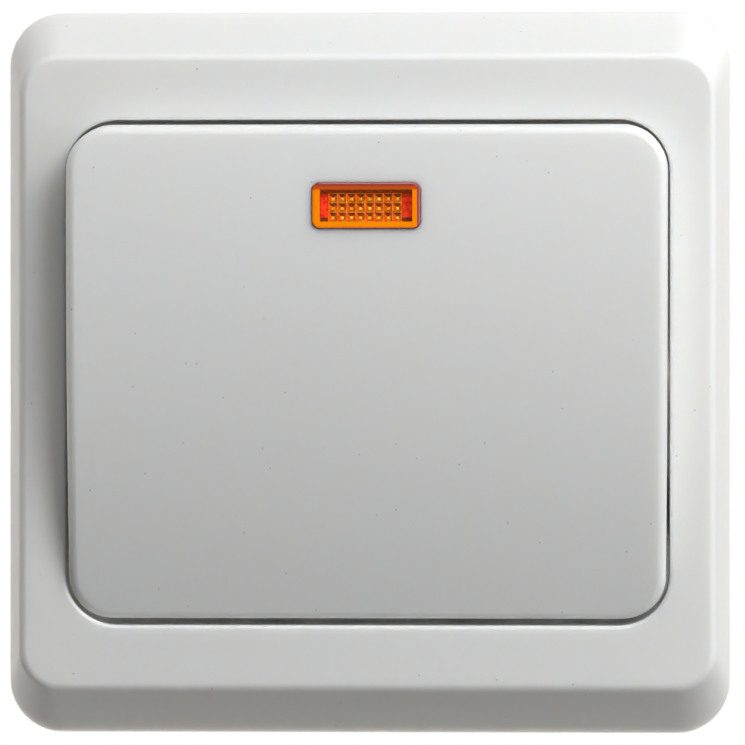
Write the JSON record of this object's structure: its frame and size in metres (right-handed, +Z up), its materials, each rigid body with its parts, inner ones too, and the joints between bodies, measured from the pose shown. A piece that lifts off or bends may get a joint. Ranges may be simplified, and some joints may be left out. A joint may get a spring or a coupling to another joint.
{
  "type": "two-way light switch",
  "caption": "Flush square wall switch with one wide rocker, an amber indicator window, bevelled frame, steel plate, change-over mechanism and box claws.",
  "frame": {"origin": "centre of the two box screws, in the wall plane at the back of the mounting plate", "axes": "+Y into the wall, +Z up, +X to the right as seen from the front"},
  "size_m": [0.082, 0.0346, 0.082],
  "materials": {
    "white_plastic": "satin white moulded thermoplastic",
    "amber_lens": "clear amber moulded acrylic",
    "grey_plastic": "grey flame-retardant moulding",
    "carrier_plastic": "natural polyamide",
    "plunger_plastic": "black acetal",
    "galvanised_steel": "galvanised sheet",
    "zinc_steel": "zinc-plated",
    "spring_steel": "bright spring wire",
    "brass": "plain rolled brass",
    "silver": "silver contact alloy",
    "lamp_glass": "clear lamp glass",
    "resistor_body": "lacquered film resistor",
    "tinned_wire": "tinned copper wire"
  },
  "bodies": {
    "switch_body": {"cover_frame": "white_plastic", "frame_screws": "zinc_steel", "mounting_plate": "galvanised_steel", "mechanism_base": "grey_plastic", "mechanism_cover": "grey_plastic", "plate_rivets": "brass", "fixed_contacts": "silver", "line_strip_1": "brass", "line_strip_2": "brass", "common_strip": "brass", "terminal_cages": "brass", "terminal_screws": "zinc_steel", "claw_pins": "zinc_steel", "claw_screws": "zinc_steel", "lamp_holder": "carrier_plastic", "neon_lamp": "lamp_glass", "ballast_resistor": "resistor_body", "lamp_leads": "tinned_wire"},
    "rocker": {"rocker_button": "white_plastic", "indicator_lens": "amber_lens", "rocker_carrier": "carrier_plastic", "plunger_spring": "spring_steel"},
    "plunger": {"plunger": "plunger_plastic"},
    "contact_arm": {"contact_lever": "brass", "moving_contacts": "silver"},
    "top_claw": {"top_claw": "galvanised_steel"},
    "bottom_claw": {"bottom_claw": "galvanised_steel"},
    "top_nut": {"top_claw_nut": "brass"},
    "bottom_nut": {"bottom_claw_nut": "brass"}
  },
  "joints": [
    {"name": "rocker_tilt", "type": "hinge", "parent": "switch_body", "child": "rocker", "pos_m": [0, -0.0085, 0], "axis": [-1, 0, 0], "range_deg": [0, 10]},
    {"name": "plunger_slide", "type": "slide", "parent": "rocker", "child": "plunger", "axis": [0, -0.9962, -0.0872], "range_m": [0, 0.001], "stiffness_N_per_m": 800, "springref_m": -0.002, "deforming": ["plunger_spring"]},
    {"name": "contact_tilt", "type": "hinge", "parent": "switch_body", "child": "contact_arm", "pos_m": [0, 0.008, 0], "axis": [-1, 0, 0], "range_deg": [-12, 0]},
    {"name": "top_claw_swing", "type": "hinge", "parent": "switch_body", "child": "top_claw", "pos_m": [0, 0.006, 0.0198], "axis": [1, 0, 0], "range_deg": [0, 30]},
    {"name": "top_nut_slide", "type": "slide", "parent": "switch_body", "child": "top_nut", "axis": [0, -1, 0], "range_m": [0, 0.0025]},
    {"name": "bottom_claw_swing", "type": "hinge", "parent": "switch_body", "child": "bottom_claw", "pos_m": [0, 0.006, -0.0198], "axis": [-1, 0, 0], "range_deg": [0, 30]},
    {"name": "bottom_nut_slide", "type": "slide", "parent": "switch_body", "child": "bottom_nut", "axis": [0, -1, 0], "range_m": [0, 0.0025]}
  ],
  "couplings": [
    {"joint": "contact_tilt", "follows": "rocker_tilt", "ratio": -1.2},
    {"joint": "top_nut_slide", "follows": "top_claw_swing", "m_per_rad": 0.004631},
    {"joint": "bottom_nut_slide", "follows": "bottom_claw_swing", "m_per_rad": 0.004631}
  ]
}
